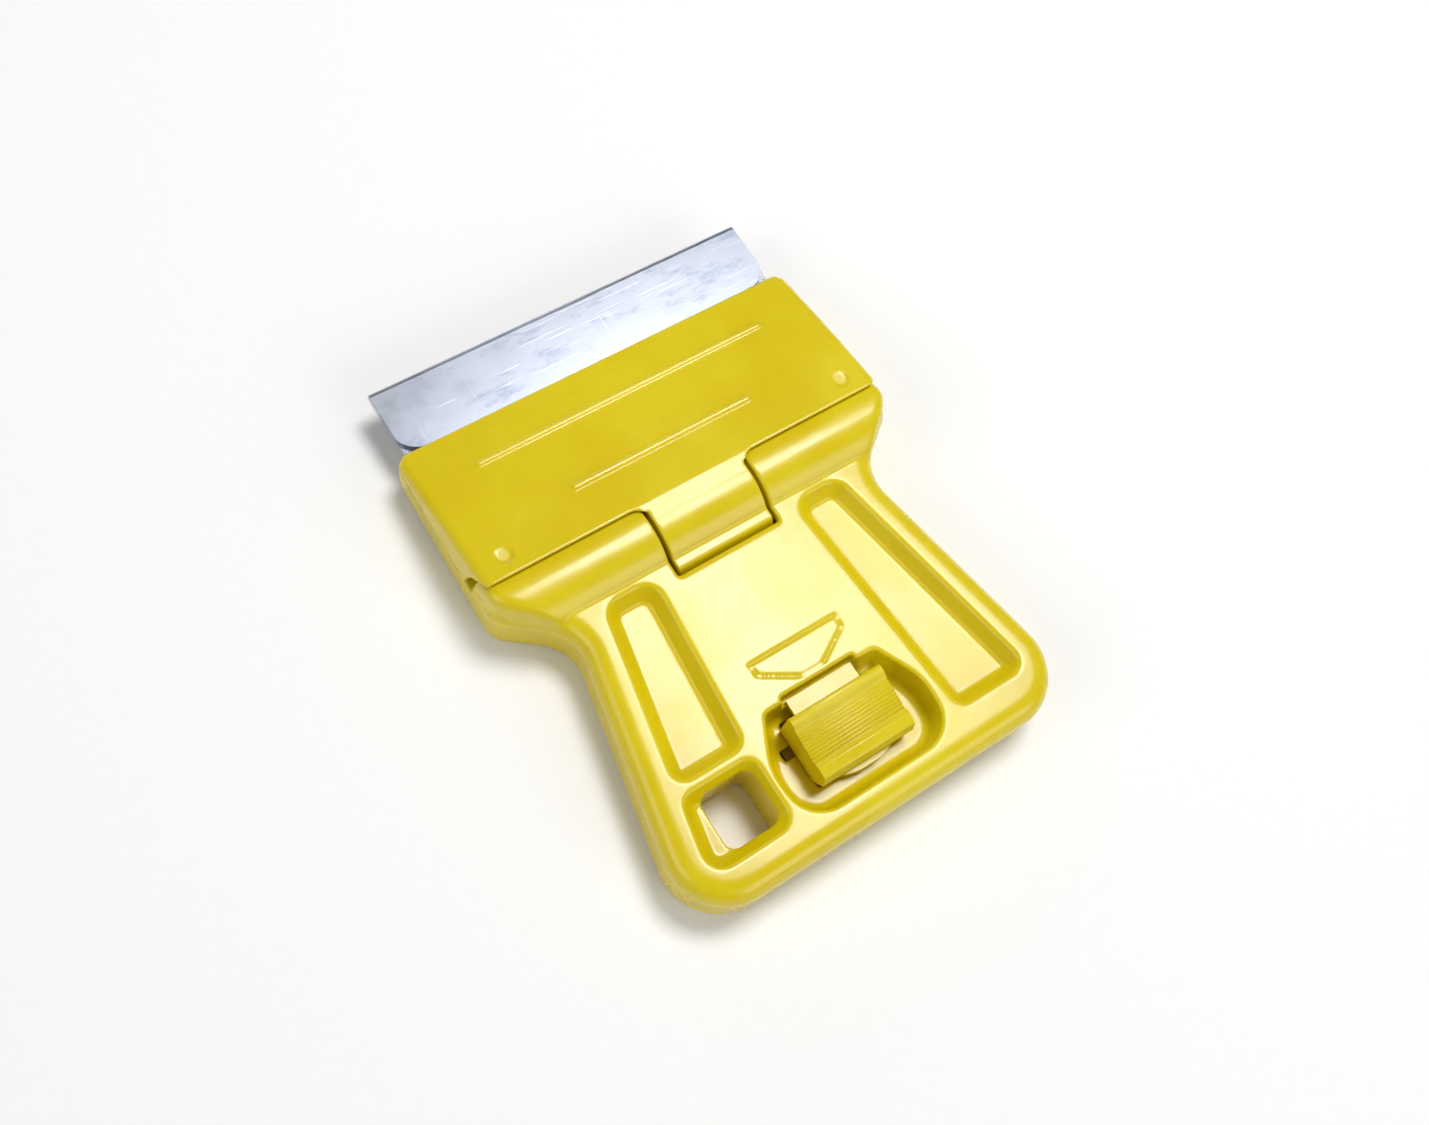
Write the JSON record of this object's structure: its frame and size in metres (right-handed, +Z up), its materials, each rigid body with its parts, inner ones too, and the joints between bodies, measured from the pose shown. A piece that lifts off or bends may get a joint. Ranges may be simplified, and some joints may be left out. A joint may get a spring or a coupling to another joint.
{
  "type": "pocket razor scraper",
  "caption": "Flat pocket scraper in yellow plastic: a hinged lid clamps a single-edge razor blade, shown stored spine out, and a ribbed thumb slide at the rear unlocks the lid.",
  "frame": {"origin": "on the flat underside, straight below the axis of the lid hinge, in the middle of the width", "axes": "+X along the blade, +Y from the handle towards the blade, +Z up out of the face with the lid and the thumb slide"},
  "size_m": [0.041, 0.0539, 0.0077],
  "materials": {
    "yellow_plastic": "semi-gloss moulded, soft rounded edges",
    "yellow_plastic_dark": "semi-gloss moulded",
    "yellow_plastic_button": "semi-gloss moulded, fine ribs",
    "yellow_plastic_inner": "satin moulded",
    "steel_pin": "ground",
    "spring_steel": "drawn wire",
    "blade_steel": "satin ground, polished bevel",
    "spine_steel": "bright rolled strip with light smudges and scratches"
  },
  "bodies": {
    "handle": {"handle_body": "yellow_plastic", "back_cover": "yellow_plastic_dark", "hinge_pin": "steel_pin", "latch_spring": "spring_steel"},
    "lid": {"head_cover": "yellow_plastic"},
    "latch": {"latch_button": "yellow_plastic_button", "latch_bar": "yellow_plastic_inner"},
    "blade": {"razor_blade": "blade_steel", "blade_spine": "spine_steel"}
  },
  "joints": [
    {"name": "lid_hinge", "type": "hinge", "parent": "handle", "child": "lid", "pos_m": [0, 0, 0.0034], "axis": [1, 0, 0], "range_deg": [0, 45]},
    {"name": "latch_slide", "type": "slide", "parent": "handle", "child": "latch", "axis": [0, -1, 0], "range_m": [0, 0.001], "stiffness_N_per_m": 250, "springref_m": -0.002, "deforming": ["latch_spring"]},
    {"name": "blade_slide", "type": "slide", "parent": "handle", "child": "blade", "axis": [0, 1, 0], "range_m": [0, 0.014]}
  ]
}
